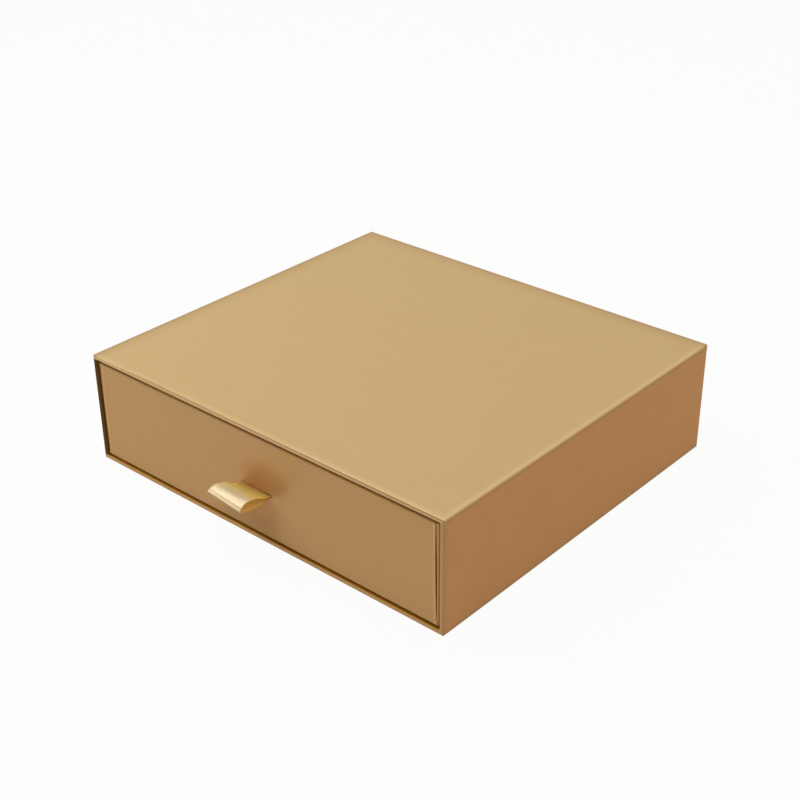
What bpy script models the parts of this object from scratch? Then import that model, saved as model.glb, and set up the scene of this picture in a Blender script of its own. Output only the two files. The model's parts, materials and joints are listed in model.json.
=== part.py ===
"""Sliding drawer gift box: a board sleeve wrapped in satin gold paper and a tray drawer on a ribbon pull.

Metres, +Z up, the drawer's face towards -Y. The origin is the centre of the sleeve's underside. The sleeve
is closed at the back. The drawer rests on the sleeve's floor and against its left wall, as it lies in use.
"""

import math
from dataclasses import dataclass

import bmesh
import bpy
from mathutils import Vector

# Driving dimensions of the sleeve, outside
SLEEVE_WIDTH = 0.280
SLEEVE_DEPTH = 0.2555
SLEEVE_HEIGHT = 0.0737

# Sheet goods, and the glue line left between two sheets that are stuck together
BOARD_THICK = 0.0015
PAPER_THICK = 0.0002
TAPE_THICK = 0.00015
GLUE_LINE = 0.00025

# Folds of the covering papers
EDGE_FOLD_RADIUS = 0.0010
RIM_FOLD_RADIUS = 0.0007
INNER_FOLD_RADIUS = 0.0005
FOLD_STEPS = 4

# Sleeve papers and tapes
SLEEVE_TURN_IN = 0.018
SLEEVE_REAR_FLAP = 0.015
BACK_PAPER_INSET = 0.002
STAY_LEG = 0.012
STAY_END_INSET = 0.002

# How the drawer lies in the sleeve
DRAWER_REST_GAP = 0.0003
DRAWER_SIDE_PLAY = 0.0020
DRAWER_TOP_PLAY = 0.0020
DRAWER_RECESS = 0.0014

# Drawer papers
DRAWER_TURN_IN = 0.015
DRAWER_LINING_DROP = 0.006
FLAP_INSET = 0.0025
FLAP_FOOT_INSET = 0.0009
FLAP_FLARE_HEIGHT = 0.005

# Ribbon pull and its slit
RIBBON_WIDTH = 0.025
RIBBON_THICK = 0.0003
RIBBON_LAYER_GAP = 0.0003
RIBBON_TAIL_END_GAP = 0.003
SLIT_CLEARANCE = 0.0003
SLIT_HEIGHT_ABOVE_TRAY = 0.0297
LOOP_REACH = 0.0245
LOOP_RISE = 0.0065
LOOP_TWIST = 0.0060
LOOP_STEPS = 4
RIBBON_COLUMNS = 6

# The loop's side view between its two ends at the slit: shares of LOOP_REACH outward and of LOOP_RISE upward
LOOP_SHARES = (
    (0.21, 0.25),
    (0.43, 0.69),
    (0.63, 0.92),
    (0.78, 1.00),
    (0.91, 0.88),
    (1.00, 0.60),
    (0.92, 0.34),
    (0.72, 0.00),
    (0.48, -0.24),
    (0.33, -0.26),
    (0.17, -0.10),
)

# How far a cutter runs past what it cuts
CUT_OVERRUN = 0.001


@dataclass(frozen=True)
class Finish:
    """Colour, roughness and metallic value of one material."""

    colour: tuple
    roughness: float
    metallic: float


GOLD_PAPER = Finish((0.58, 0.40, 0.22), 0.42, 0.35)
LINING_PAPER = Finish((0.72, 0.66, 0.55), 0.80, 0.0)
GREYBOARD = Finish((0.36, 0.34, 0.31), 0.92, 0.0)
KRAFT_TAPE = Finish((0.45, 0.31, 0.18), 0.85, 0.0)
SATIN_RIBBON = Finish((0.90, 0.66, 0.32), 0.35, 0.0)


@dataclass(frozen=True)
class Block:
    """A box with its sides along the axes, named by its six faces."""

    left: float
    right: float
    front: float
    back: float
    bottom: float
    top: float

    def centre(self):
        """The block's middle."""
        return Vector(
            (
                (self.left + self.right) / 2,
                (self.front + self.back) / 2,
                (self.bottom + self.top) / 2,
            )
        )

    def size(self):
        """The block's three side lengths."""
        return Vector((self.right - self.left, self.back - self.front, self.top - self.bottom))


# Stacks of sheets, from a covered face inward
SKIN = PAPER_THICK + GLUE_LINE + TAPE_THICK + GLUE_LINE
WALL = SKIN + BOARD_THICK + GLUE_LINE + PAPER_THICK
EDGE_COVER = PAPER_THICK + GLUE_LINE
REAR_COVER = EDGE_COVER + EDGE_COVER
LINING_STAND_OFF = GLUE_LINE + RIBBON_THICK + GLUE_LINE

SLEEVE = Block(
    -SLEEVE_WIDTH / 2,
    SLEEVE_WIDTH / 2,
    -SLEEVE_DEPTH / 2,
    SLEEVE_DEPTH / 2,
    0.0,
    SLEEVE_HEIGHT,
)
SLEEVE_STOP = SLEEVE.back - REAR_COVER - BOARD_THICK - GLUE_LINE - PAPER_THICK

# The drawer's face is the front flap, one paper proud of the rest of the tray's cover
DRAWER_FACE = SLEEVE.front + DRAWER_RECESS
TRAY = Block(
    SLEEVE.left + WALL + DRAWER_REST_GAP,
    SLEEVE.right - WALL - DRAWER_SIDE_PLAY,
    DRAWER_FACE + PAPER_THICK,
    SLEEVE_STOP - DRAWER_REST_GAP,
    SLEEVE.bottom + WALL + DRAWER_REST_GAP,
    SLEEVE.top - WALL - DRAWER_TOP_PLAY,
)
TRAY_BOARDS = Block(
    TRAY.left + SKIN,
    TRAY.right - SKIN,
    TRAY.front + SKIN,
    TRAY.back - SKIN,
    TRAY.bottom + EDGE_COVER,
    TRAY.top - EDGE_COVER,
)
SLIT_Z = TRAY.bottom + SLIT_HEIGHT_ABOVE_TRAY
SLIT_HALF_HEIGHT = RIBBON_LAYER_GAP / 2 + RIBBON_THICK + SLIT_CLEARANCE

# The ribbon's two tails are alike, and the upper one ends below the turn-in of the tray's cover
RIBBON_TAIL = TRAY.top - DRAWER_TURN_IN - RIBBON_TAIL_END_GAP - SLIT_Z


def clear_scene():
    """Removes whatever the scene holds."""
    for obj in list(bpy.data.objects):
        bpy.data.objects.remove(obj, do_unlink=True)


def give_material(obj, finish):
    """Gives the object its own material."""
    material = bpy.data.materials.new(obj.name)
    material.use_nodes = True
    shader = material.node_tree.nodes["Principled BSDF"]
    shader.inputs["Base Color"].default_value = (*finish.colour, 1.0)
    shader.inputs["Roughness"].default_value = finish.roughness
    shader.inputs["Metallic"].default_value = finish.metallic
    obj.data.materials.append(material)


def object_from(name, bm, origin, finish=None, parent=None):
    """Makes an object of a mesh drawn in world coordinates, with its origin at the point given."""
    bmesh.ops.translate(bm, verts=bm.verts, vec=-origin)
    mesh = bpy.data.meshes.new(name)
    bm.to_mesh(mesh)
    bm.free()
    obj = bpy.data.objects.new(name, mesh)
    bpy.context.scene.collection.objects.link(obj)
    obj.parent = parent
    obj.location = origin - parent.location if parent else origin
    if finish:
        give_material(obj, finish)
    return obj


def block_mesh(block):
    """A cube stretched to fill the block."""
    bm = bmesh.new()
    bmesh.ops.create_cube(bm, size=1.0)
    bmesh.ops.scale(bm, vec=block.size(), verts=bm.verts)
    bmesh.ops.translate(bm, vec=block.centre(), verts=bm.verts)
    return bm


def board(name, block, parent=None):
    """A flat greyboard panel."""
    return object_from(name, block_mesh(block), block.centre(), GREYBOARD, parent)


def as_cutter(obj):
    """Marks an object that only shapes others."""
    obj.hide_render = True
    obj.display_type = "WIRE"
    return obj


def apply_boolean(obj, other, operation):
    """Adds an exact Boolean with the other object."""
    modifier = obj.modifiers.new(operation.title(), "BOOLEAN")
    modifier.operation = operation
    modifier.object = other
    modifier.solver = "EXACT"


def add_thickness(obj, thickness, offset):
    """Gives a sheet its thickness; an offset of -1 grows it behind its visible side."""
    modifier = obj.modifiers.new("Thickness", "SOLIDIFY")
    modifier.thickness = thickness
    modifier.offset = offset
    modifier.use_even_offset = True


def rounded_rectangle(low_u, high_u, low_v, high_v, radius):
    """Points of a rounded rectangle, anticlockwise from the lower right corner."""
    corners = (
        (high_u - radius, low_v + radius),
        (high_u - radius, high_v - radius),
        (low_u + radius, high_v - radius),
        (low_u + radius, low_v + radius),
    )
    points = []
    for index, (u, v) in enumerate(corners):
        start = (index - 1) * math.pi / 2
        for step in range(FOLD_STEPS + 1):
            angle = start + math.pi / 2 * step / FOLD_STEPS
            points.append((u + radius * math.cos(angle), v + radius * math.sin(angle)))
    return points


def fold(inset, height, radius, start_quarter, end_quarter):
    """Stations round a fold: a quarter circle about a centre, angles in quarter turns."""
    turn = (end_quarter - start_quarter) * math.pi / 2
    stations = []
    for step in range(FOLD_STEPS + 1):
        angle = start_quarter * math.pi / 2 + turn * step / FOLD_STEPS
        stations.append((inset + radius * math.cos(angle), height + radius * math.sin(angle)))
    return stations


def corner_radius(inset):
    """A ring's corner radius: the outer fold's, less the inset, down to that of an inner fold."""
    return max(EDGE_FOLD_RADIUS - inset, INNER_FOLD_RADIUS)


def sheet_through(rings, with_cap):
    """A sheet of paper drawn through rings of points; a cap closes the first ring."""
    bm = bmesh.new()
    loops = [[bm.verts.new(point) for point in ring] for ring in rings]
    for near, far in zip(loops, loops[1:]):
        count = len(near)
        for i in range(count):
            after = (i + 1) % count
            bm.faces.new((near[i], near[after], far[after], far[i]))
    if with_cap:
        bm.faces.new(list(reversed(loops[0])))
    return bm


def sleeve_ring(inset, y):
    """A ring round the sleeve, square to its depth."""
    outline = rounded_rectangle(
        SLEEVE.left + inset,
        SLEEVE.right - inset,
        SLEEVE.bottom + inset,
        SLEEVE.top - inset,
        corner_radius(inset),
    )
    return [(u, y, v) for u, v in outline]


def tray_ring(inset, z):
    """A ring round the drawer's tray, level."""
    outline = rounded_rectangle(
        TRAY.left + inset,
        TRAY.right - inset,
        TRAY.front + inset,
        TRAY.back - inset,
        corner_radius(inset),
    )
    return [(u, v, z) for u, v in outline]


def catmull_rom(points, steps):
    """A smooth curve through the points, with the given number of steps between two of them."""
    padded = [points[0] * 2 - points[1], *points, points[-1] * 2 - points[-2]]
    curve = []
    for before, start, end, after in zip(padded, padded[1:], padded[2:], padded[3:]):
        for step in range(steps):
            t = step / steps
            curve.append(
                0.5
                * (
                    2 * start
                    + (end - before) * t
                    + (2 * before - 5 * start + 4 * end - after) * t**2
                    + (3 * start - before - 3 * end + after) * t**3
                )
            )
    curve.append(points[-1])
    return curve


def stay_outline(corner_u, corner_v, side_u, side_v):
    """Outline of a folded tape round a board corner; the two sides are the signs of outward."""

    def quarter(radius):
        """Points round the corner, from the first leg to the second."""
        angles = [math.pi / 2 * step / FOLD_STEPS for step in range(FOLD_STEPS + 1)]
        return [
            (
                corner_u + side_u * radius * math.cos(angle),
                corner_v + side_v * radius * math.sin(angle),
            )
            for angle in angles
        ]

    inside = GLUE_LINE
    outside = GLUE_LINE + TAPE_THICK
    return [
        (corner_u + side_u * outside, corner_v - side_v * STAY_LEG),
        *quarter(outside),
        (corner_u - side_u * STAY_LEG, corner_v + side_v * outside),
        (corner_u - side_u * STAY_LEG, corner_v + side_v * inside),
        *reversed(quarter(inside)),
        (corner_u + side_u * inside, corner_v - side_v * STAY_LEG),
    ]


def extruded(points, travel):
    """A prism: the outline's face, drawn out along the travel vector."""
    bm = bmesh.new()
    face = bm.faces.new([bm.verts.new(point) for point in points])
    drawn = bmesh.ops.extrude_face_region(bm, geom=[face])
    moved = [part for part in drawn["geom"] if isinstance(part, bmesh.types.BMVert)]
    bmesh.ops.translate(bm, vec=travel, verts=moved)
    bmesh.ops.recalc_face_normals(bm, faces=bm.faces)
    return bm


def build_sleeve_boards():
    """The sleeve's five panels."""
    outer = Block(
        SLEEVE.left + SKIN,
        SLEEVE.right - SKIN,
        SLEEVE.front + EDGE_COVER,
        SLEEVE.back - REAR_COVER,
        SLEEVE.bottom + SKIN,
        SLEEVE.top - SKIN,
    )
    floor_top = outer.bottom + BOARD_THICK
    roof_bottom = outer.top - BOARD_THICK
    side_bottom = floor_top + GLUE_LINE
    side_top = roof_bottom - GLUE_LINE
    left_inner = outer.left + BOARD_THICK
    right_inner = outer.right - BOARD_THICK
    board(
        "sleeve_bottom_board",
        Block(outer.left, outer.right, outer.front, outer.back, outer.bottom, floor_top),
    )
    board(
        "sleeve_top_board",
        Block(outer.left, outer.right, outer.front, outer.back, roof_bottom, outer.top),
    )
    board(
        "sleeve_left_board",
        Block(outer.left, left_inner, outer.front, outer.back, side_bottom, side_top),
    )
    board(
        "sleeve_right_board",
        Block(right_inner, outer.right, outer.front, outer.back, side_bottom, side_top),
    )
    board(
        "sleeve_back_board",
        Block(
            left_inner + GLUE_LINE,
            right_inner - GLUE_LINE,
            outer.back - BOARD_THICK,
            outer.back,
            side_bottom,
            side_top,
        ),
    )
    return outer


def build_sleeve_stays(boards):
    """Four tapes along the sleeve's long edges, under the wrap."""
    start = boards.front + STAY_END_INSET
    length = boards.back - boards.front - STAY_END_INSET - STAY_END_INSET
    for level, z, side_z in (("top", boards.top, 1), ("bottom", boards.bottom, -1)):
        for side, x, side_x in (("left", boards.left, -1), ("right", boards.right, 1)):
            outline = [(u, start, v) for u, v in stay_outline(x, z, side_x, side_z)]
            bm = extruded(outline, Vector((0.0, length, 0.0)))
            object_from(f"sleeve_stay_{level}_{side}", bm, Vector((x, start, z)), KRAFT_TAPE)


def build_sleeve_wrap():
    """The outer sheet: rear flaps, four sides, the rim of the mouth and the turn-in."""
    back = SLEEVE.back - EDGE_COVER
    stations = [(SLEEVE_REAR_FLAP, back)]
    stations += fold(EDGE_FOLD_RADIUS, back - EDGE_FOLD_RADIUS, EDGE_FOLD_RADIUS, 1, 2)
    stations += fold(RIM_FOLD_RADIUS, SLEEVE.front + RIM_FOLD_RADIUS, RIM_FOLD_RADIUS, 2, 3)
    stations += fold(
        WALL - INNER_FOLD_RADIUS, SLEEVE.front + INNER_FOLD_RADIUS, INNER_FOLD_RADIUS, 3, 4
    )
    stations.append((WALL, SLEEVE.front + SLEEVE_TURN_IN))
    bm = sheet_through([sleeve_ring(inset, y) for inset, y in stations], with_cap=False)
    wrap = object_from("sleeve_wrap_paper", bm, SLEEVE.centre(), GOLD_PAPER)
    add_thickness(wrap, PAPER_THICK, -1)


def build_sleeve_back_paper():
    """The sheet over the rear flaps and the back board."""
    block = Block(
        SLEEVE.left + BACK_PAPER_INSET,
        SLEEVE.right - BACK_PAPER_INSET,
        SLEEVE.back - PAPER_THICK,
        SLEEVE.back,
        SLEEVE.bottom + BACK_PAPER_INSET,
        SLEEVE.top - BACK_PAPER_INSET,
    )
    object_from("sleeve_back_paper", block_mesh(block), block.centre(), GOLD_PAPER)


def build_sleeve_lining():
    """The inner lining, closed at the back and open where the turn-in ends."""
    side = WALL - PAPER_THICK
    back = SLEEVE_STOP + PAPER_THICK
    stations = fold(side + INNER_FOLD_RADIUS, back - INNER_FOLD_RADIUS, INNER_FOLD_RADIUS, 1, 2)
    stations.append((side, SLEEVE.front + SLEEVE_TURN_IN + GLUE_LINE))
    bm = sheet_through([sleeve_ring(inset, y) for inset, y in stations], with_cap=True)
    lining = object_from("sleeve_lining_paper", bm, SLEEVE.centre(), LINING_PAPER)
    add_thickness(lining, PAPER_THICK, -1)


def build_tray_boards(slit, slide):
    """The drawer's five panels; the slit goes through the front one."""
    outer = TRAY_BOARDS
    wall_bottom = outer.bottom + BOARD_THICK + GLUE_LINE
    front_inner = outer.front + BOARD_THICK
    back_inner = outer.back - BOARD_THICK
    board(
        "drawer_base_board",
        Block(
            outer.left,
            outer.right,
            outer.front,
            outer.back,
            outer.bottom,
            outer.bottom + BOARD_THICK,
        ),
        slide,
    )
    front = board(
        "drawer_front_board",
        Block(outer.left, outer.right, outer.front, front_inner, wall_bottom, outer.top),
        slide,
    )
    apply_boolean(front, slit, "DIFFERENCE")
    board(
        "drawer_back_board",
        Block(outer.left, outer.right, back_inner, outer.back, wall_bottom, outer.top),
        slide,
    )
    side_front = front_inner + GLUE_LINE
    side_back = back_inner - GLUE_LINE
    for side, low, high in (
        ("left", outer.left, outer.left + BOARD_THICK),
        ("right", outer.right - BOARD_THICK, outer.right),
    ):
        block = Block(low, high, side_front, side_back, wall_bottom, outer.top)
        board(f"drawer_{side}_board", block, slide)


def build_tray_stays(slide):
    """Four tapes round the tray's upright corners, under its cover."""
    boards = TRAY_BOARDS
    height = boards.top - boards.bottom - STAY_END_INSET - STAY_END_INSET
    start = boards.bottom + STAY_END_INSET
    for end, y, side_y in (("front", boards.front, -1), ("back", boards.back, 1)):
        for side, x, side_x in (("left", boards.left, -1), ("right", boards.right, 1)):
            outline = [(u, v, start) for u, v in stay_outline(x, y, side_x, side_y)]
            bm = extruded(outline, Vector((0.0, 0.0, height)))
            origin = Vector((x, y, start))
            object_from(f"drawer_stay_{end}_{side}", bm, origin, KRAFT_TAPE, slide)


def build_flap_guide(slide):
    """The front flap: cut short at both ends, and flaring to the corners at its foot."""
    foot = TRAY.bottom + EDGE_FOLD_RADIUS
    flare = foot + FLAP_FLARE_HEIGHT
    head = TRAY.top - RIM_FOLD_RADIUS
    left = TRAY.left + FLAP_INSET
    right = TRAY.right - FLAP_INSET
    foot_left = TRAY.left + FLAP_FOOT_INSET
    foot_right = TRAY.right - FLAP_FOOT_INSET
    outline = (
        (foot_left, foot),
        (foot_right, foot),
        (right, flare),
        (right, head),
        (left, head),
        (left, flare),
    )
    buried = TRAY.front + PAPER_THICK / 2
    bm = extruded(
        [(x, buried, z) for x, z in outline],
        Vector((0.0, DRAWER_FACE - buried, 0.0)),
    )
    origin = Vector((TRAY.centre().x, DRAWER_FACE, SLIT_Z))
    return as_cutter(object_from("front_flap_guide", bm, origin, parent=slide))


def build_tray_wrap(slit, flap, slide):
    """The outer sheet of the drawer: base, four sides, rim, turn-in and the front flap over the ears."""
    base = TRAY.bottom
    rim = TRAY.top
    stations = fold(EDGE_FOLD_RADIUS, base + EDGE_FOLD_RADIUS, EDGE_FOLD_RADIUS, 3, 2)
    stations += fold(RIM_FOLD_RADIUS, rim - RIM_FOLD_RADIUS, RIM_FOLD_RADIUS, 2, 1)
    stations += fold(WALL - INNER_FOLD_RADIUS, rim - INNER_FOLD_RADIUS, INNER_FOLD_RADIUS, 1, 0)
    stations.append((WALL, rim - DRAWER_TURN_IN))
    bm = sheet_through([tray_ring(inset, z) for inset, z in stations], with_cap=True)
    wrap = object_from("drawer_wrap_paper", bm, TRAY.centre(), GOLD_PAPER, slide)
    add_thickness(wrap, PAPER_THICK, -1)
    apply_boolean(wrap, flap, "UNION")
    apply_boolean(wrap, slit, "DIFFERENCE")


def build_tray_lining(slide):
    """The drawer's inner lining, over the turn-in and the ribbon's tails."""
    side = SKIN + BOARD_THICK + LINING_STAND_OFF
    base = TRAY_BOARDS.bottom + BOARD_THICK + GLUE_LINE
    stations = fold(side + EDGE_FOLD_RADIUS, base + EDGE_FOLD_RADIUS, EDGE_FOLD_RADIUS, 3, 2)
    stations.append((side, TRAY.top - DRAWER_LINING_DROP))
    bm = sheet_through([tray_ring(inset, z) for inset, z in stations], with_cap=True)
    lining = object_from("drawer_lining_paper", bm, TRAY.centre(), LINING_PAPER, slide)
    add_thickness(lining, PAPER_THICK, -1)


def build_slit_cutter(slide):
    """The cutter of the ribbon's slit."""
    half_width = RIBBON_WIDTH / 2 + SLIT_CLEARANCE
    middle = TRAY.centre().x
    block = Block(
        middle - half_width,
        middle + half_width,
        DRAWER_FACE - CUT_OVERRUN,
        TRAY_BOARDS.front + BOARD_THICK + CUT_OVERRUN,
        SLIT_Z - SLIT_HALF_HEIGHT,
        SLIT_Z + SLIT_HALF_HEIGHT,
    )
    return as_cutter(object_from("slit_cutter", block_mesh(block), block.centre(), parent=slide))


def ribbon_path():
    """The ribbon's middle line as (y, z): upper tail, slit, loop, slit, lower tail."""
    layer = (RIBBON_LAYER_GAP + RIBBON_THICK) / 2
    board_back = TRAY_BOARDS.front + BOARD_THICK
    bend = GLUE_LINE + RIBBON_THICK / 2
    tail_y = board_back + bend
    upper = [Vector((tail_y, SLIT_Z + RIBBON_TAIL))]
    for step in range(FOLD_STEPS + 1):
        angle = math.pi / 2 * step / FOLD_STEPS
        upper.append(
            Vector(
                (
                    board_back + bend * math.cos(angle),
                    SLIT_Z + layer + bend - bend * math.sin(angle),
                )
            )
        )
    lower = [Vector((point.x, SLIT_Z + SLIT_Z - point.y)) for point in reversed(upper)]
    knots = [Vector((DRAWER_FACE, SLIT_Z + layer))]
    for outward_share, upward_share in LOOP_SHARES:
        knots.append(
            Vector((DRAWER_FACE - LOOP_REACH * outward_share, SLIT_Z + LOOP_RISE * upward_share))
        )
    knots.append(Vector((DRAWER_FACE, SLIT_Z - layer)))
    return upper + catmull_rom(knots, LOOP_STEPS) + lower


def build_ribbon(slide):
    """The satin pull: a strip across the path, its left edge lifted as the loop leaves the slit."""
    middle = TRAY.centre().x
    bm = bmesh.new()
    rows = []
    for y, z in ribbon_path():
        outward_share = max(DRAWER_FACE - y, 0.0) / LOOP_REACH
        row = []
        for column in range(RIBBON_COLUMNS + 1):
            across_share = column / RIBBON_COLUMNS - 1 / 2
            lift = -across_share * LOOP_TWIST * outward_share**2
            row.append(bm.verts.new((middle + RIBBON_WIDTH * across_share, y, z + lift)))
        rows.append(row)
    for near, far in zip(rows, rows[1:]):
        for left in range(RIBBON_COLUMNS):
            bm.faces.new((near[left], near[left + 1], far[left + 1], far[left]))
    origin = Vector((middle, DRAWER_FACE, SLIT_Z))
    ribbon = object_from("ribbon_pull", bm, origin, SATIN_RIBBON, slide)
    ribbon.data.shade_smooth()
    add_thickness(ribbon, RIBBON_THICK, 0)


def build_sleeve():
    """The fixed half of the box."""
    boards = build_sleeve_boards()
    build_sleeve_stays(boards)
    build_sleeve_wrap()
    build_sleeve_back_paper()
    build_sleeve_lining()


def build_drawer():
    """The sliding half, on an empty that lies on the slide's axis."""
    slide = bpy.data.objects.new("drawer_slide", None)
    bpy.context.scene.collection.objects.link(slide)
    slide.location = TRAY.centre()
    slit = build_slit_cutter(slide)
    flap = build_flap_guide(slide)
    build_tray_boards(slit, slide)
    build_tray_stays(slide)
    build_tray_wrap(slit, flap, slide)
    build_tray_lining(slide)
    build_ribbon(slide)


clear_scene()
build_sleeve()
build_drawer()
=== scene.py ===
"""Sliding drawer gift box, dressed: satin gold papers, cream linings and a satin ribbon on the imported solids.

Metres, +Z up, the drawer's face towards -Y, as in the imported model. The sleeve's cover and back sheet, the
drawer's cover and lining and the ribbon are new pieces that stand for their solids; the boards, the tapes and
the sleeve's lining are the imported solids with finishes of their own.
"""

import json
import logging
import math
from dataclasses import dataclass
from enum import Enum
from typing import Callable, Mapping, Sequence

import bmesh
import bpy
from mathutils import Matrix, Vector

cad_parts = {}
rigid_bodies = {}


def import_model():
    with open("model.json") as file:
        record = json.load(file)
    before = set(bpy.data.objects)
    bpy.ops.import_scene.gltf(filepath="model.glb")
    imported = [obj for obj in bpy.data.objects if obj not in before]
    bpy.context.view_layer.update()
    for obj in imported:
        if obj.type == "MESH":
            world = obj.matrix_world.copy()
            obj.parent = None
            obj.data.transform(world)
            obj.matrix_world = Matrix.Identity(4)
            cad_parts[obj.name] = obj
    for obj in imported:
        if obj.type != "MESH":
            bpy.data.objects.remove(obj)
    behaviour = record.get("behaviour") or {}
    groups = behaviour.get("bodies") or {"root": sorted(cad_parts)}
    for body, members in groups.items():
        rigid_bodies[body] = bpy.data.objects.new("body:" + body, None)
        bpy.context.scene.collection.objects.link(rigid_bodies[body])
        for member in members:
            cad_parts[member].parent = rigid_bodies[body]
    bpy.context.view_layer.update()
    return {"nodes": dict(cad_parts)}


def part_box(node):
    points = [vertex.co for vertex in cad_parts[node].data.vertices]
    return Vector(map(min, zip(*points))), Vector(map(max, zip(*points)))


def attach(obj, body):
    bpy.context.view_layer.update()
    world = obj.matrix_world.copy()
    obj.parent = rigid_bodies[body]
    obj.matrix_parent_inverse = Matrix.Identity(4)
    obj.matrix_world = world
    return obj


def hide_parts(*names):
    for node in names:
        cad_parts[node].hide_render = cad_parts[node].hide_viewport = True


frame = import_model()

LOG = logging.getLogger("gift_box")

# Sheet goods, as the solids have them
MM = 0.001
BOARD_THICK = 1.5 * MM
PAPER_THICK = 0.2 * MM
TAPE_THICK = 0.15 * MM
GLUE_LINE = 0.25 * MM
SKIN = PAPER_THICK + GLUE_LINE + TAPE_THICK + GLUE_LINE
WALL = SKIN + BOARD_THICK + GLUE_LINE + PAPER_THICK

WIDEST_FOLD = 2.0 * MM
FOLD_STEPS = 4
SAME = 0.02 * MM
JOINED = 0.01 * MM

Colour = tuple[float, float, float]
# Where a mark ends and where it is full, as distances from an edge
Band = tuple[float, float]
# Takes an element's middle, and its normal, or an edge's direction
Test = Callable[[Vector, Vector], bool]

# What of a mixed noise runs from a finish's deep colour to its light one
TONE_BAND: Band = (0.3, 0.7)


class Part(Enum):
    """What an edit-mode test looks at."""

    VERTS = "VERT"
    EDGES = "EDGE"
    FACES = "FACE"


class Body(Enum):
    """The two halves that move apart."""

    SLEEVE = "sleeve"
    DRAWER = "drawer"


class Slot(Enum):
    """The record's material slots."""

    GOLD_PAPER = "gold_paper"
    LINING_PAPER = "lining_paper"
    GREYBOARD = "greyboard"
    KRAFT_TAPE = "kraft_tape"
    SATIN_RIBBON = "satin_ribbon"


class Channel:
    """A number socket of a finish's tree; arithmetic on it adds Math nodes."""

    def __init__(self, tree: "FinishTree", socket: bpy.types.NodeSocket) -> None:
        """Keeps the socket with its tree."""
        self.tree = tree
        self.socket = socket

    def __add__(self, other: "float | Channel") -> "Channel":
        """This plus the other."""
        return self.tree.math("ADD", self, other)

    def __radd__(self, other: float) -> "Channel":
        """The other plus this."""
        return self.tree.math("ADD", other, self)

    def __sub__(self, other: "float | Channel") -> "Channel":
        """This less the other."""
        return self.tree.math("SUBTRACT", self, other)

    def __rsub__(self, other: float) -> "Channel":
        """The other less this."""
        return self.tree.math("SUBTRACT", other, self)

    def __mul__(self, other: "float | Channel") -> "Channel":
        """This times the other."""
        return self.tree.math("MULTIPLY", self, other)

    def __rmul__(self, other: float) -> "Channel":
        """The other times this."""
        return self.tree.math("MULTIPLY", other, self)

    def __abs__(self) -> "Channel":
        """This without its sign."""
        return self.tree.math("ABSOLUTE", self)

    def most(self, other: "Channel") -> "Channel":
        """The greater of this and the other."""
        return self.tree.math("MAXIMUM", self, other)

    def least(self, other: "Channel") -> "Channel":
        """The smaller of this and the other."""
        return self.tree.math("MINIMUM", self, other)

    def ramp(self, low: float, high: float, smooth: bool = True) -> "Channel":
        """This as a share, clamped.

        Args:
            low: The value at which the share is 0.
            high: The value at which it is 1.
            smooth: Whether it eases in and out.

        Returns:
            The share.
        """
        made = self.tree.node(
            "ShaderNodeMapRange",
            {"interpolation_type": "SMOOTHSTEP" if smooth else "LINEAR"},
            {"Value": self, "From Min": low, "From Max": high},
        )
        return Channel(self.tree, made.outputs["Result"])


def tone_of(coarse: Channel, fine: Channel, fine_share: float) -> Channel:
    """Two patterns mixed to a share between a finish's two colours."""
    return ((1.0 - fine_share) * coarse + fine_share * fine).ramp(*TONE_BAND)


def spread_about(middle: float, spread: float, pattern: Channel) -> Channel:
    """A value that a pattern from 0 to 1 spreads about its middle."""
    return middle - spread / 2 + spread * pattern


@dataclass(frozen=True)
class Mark:
    """A soft oval mark on an upright face, in metres, and how much of its colour it lays on."""

    x: float
    z: float
    reach_x: float
    reach_z: float
    share: float

    def share_at(self, x: Channel, z: Channel) -> Channel:
        """Its share by place: full in its middle, nothing from its outline on.

        Args:
            x: The place across.
            z: The place in height.

        Returns:
            The share.
        """
        across = (x - self.x) * (1.0 / self.reach_x)
        up = (z - self.z) * (1.0 / self.reach_z)
        return (across * across + up * up).ramp(1.0, 0.0) * self.share


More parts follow.
